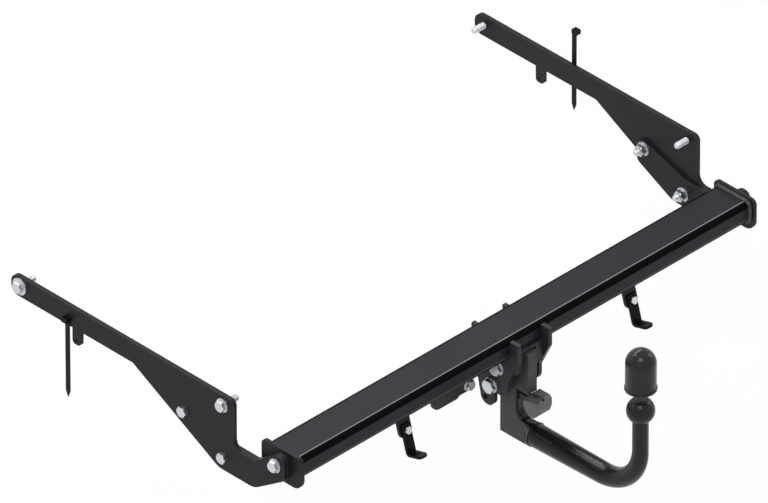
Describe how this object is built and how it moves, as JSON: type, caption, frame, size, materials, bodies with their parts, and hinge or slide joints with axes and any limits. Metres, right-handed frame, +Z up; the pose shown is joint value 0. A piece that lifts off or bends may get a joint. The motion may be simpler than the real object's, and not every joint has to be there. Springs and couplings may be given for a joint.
{
  "type": "detachable towbar",
  "caption": "Crossbeam towbar with bolt-on side arms, a central receiver, a removable swan neck with coupling ball, a turning release knob, a socket plate and a loose ball cap.",
  "frame": {"origin": "centre of the coupling ball", "axes": "+X to the vehicle's right along the crossbeam, +Y forward along the side arms, +Z up"},
  "size_m": [1.135, 0.9739, 0.357],
  "materials": {
    "frame_coat": "satin black powder coat",
    "neck_coat": "glossy black stove enamel",
    "zinc_steel": "bright zinc plate",
    "knob_plastic": "moulded, fine grain",
    "tie_plastic": "smooth nylon",
    "cap_plastic": "soft glossy plastic",
    "socket_coat": "satin grey coat",
    "bare_steel": "ground and oiled",
    "bush_brass": "turned",
    "key_chrome": "polished"
  },
  "bodies": {
    "frame": {"crossbeam_tube": "frame_coat", "left_end_plate": "frame_coat", "right_end_plate": "frame_coat", "end_plate_welds": "frame_coat", "left_connector_plate": "frame_coat", "right_connector_plate": "frame_coat", "left_side_arm": "frame_coat", "right_side_arm": "frame_coat", "chassis_bolts": "zinc_steel", "far_washers": "zinc_steel", "arm_washers": "zinc_steel", "arm_bolts": "zinc_steel", "beam_end_bolts": "zinc_steel", "arm_nuts": "zinc_steel", "beam_captive_nuts": "zinc_steel", "left_receiver_plate": "frame_coat", "right_receiver_plate": "frame_coat", "rear_cross_plate": "frame_coat", "stop_block": "frame_coat", "top_seat_plate": "frame_coat", "left_guide_block": "frame_coat", "right_guide_block": "frame_coat", "lock_strike_block": "frame_coat", "receiver_washers": "zinc_steel", "receiver_bolts": "zinc_steel", "socket_tab": "frame_coat", "socket_pivot_bolt": "zinc_steel", "socket_pivot_nut": "zinc_steel", "socket_pivot_washers": "zinc_steel", "left_bracket_lug": "frame_coat", "right_bracket_lug": "frame_coat", "left_strap_bracket": "frame_coat", "right_strap_bracket": "frame_coat", "strap_bolts": "zinc_steel", "strap_nuts": "zinc_steel", "left_cable_tie": "tie_plastic", "right_cable_tie": "tie_plastic"},
    "neck": {"ball_neck": "neck_coat", "lock_bush": "bush_brass", "lock_spring": "bare_steel"},
    "lock": {"lock_bolt": "bare_steel", "lock_rod": "bare_steel"},
    "handle": {"release_handle": "knob_plastic", "handle_pin": "bare_steel", "crank_pin": "bare_steel"},
    "key": {"key_cylinder": "key_chrome"},
    "cover": {"key_cover": "knob_plastic"},
    "cap": {"ball_cap": "cap_plastic"},
    "socket": {"socket_plate": "socket_coat"}
  },
  "joints": [
    {"name": "neck_release", "type": "slide", "parent": "frame", "child": "neck", "axis": [0, 0, -1], "range_m": [0, 0.12]},
    {"name": "handle_turn", "type": "hinge", "parent": "neck", "child": "handle", "pos_m": [0, 0.245, -0.1125], "axis": [-1, 0, 0], "range_deg": [0, 56]},
    {"name": "lock_slide", "type": "slide", "parent": "neck", "child": "lock", "axis": [0, 1, 0], "range_m": [0, 0.01259]},
    {"name": "key_turn", "type": "hinge", "parent": "handle", "child": "key", "pos_m": [0.012, 0.245, -0.1125], "axis": [1, 0, 0], "range_deg": [0, 90]},
    {"name": "key_cover_swing", "type": "hinge", "parent": "handle", "child": "cover", "pos_m": [0.0157, 0.245, -0.1254], "axis": [1, 0, 0], "range_deg": [0, 110]},
    {"name": "ball_cap_lift", "type": "slide", "parent": "neck", "child": "cap", "axis": [0, 0, -1], "range_m": [0, 0.0965]},
    {"name": "socket_plate_fold", "type": "hinge", "parent": "frame", "child": "socket", "pos_m": [-0.078, 0.333, -0.074], "axis": [0, -1, 0], "range_deg": [0, 90]}
  ],
  "couplings": [
    {"joint": "lock_slide", "follows": "handle_turn", "m_per_rad": 0.012873}
  ]
}
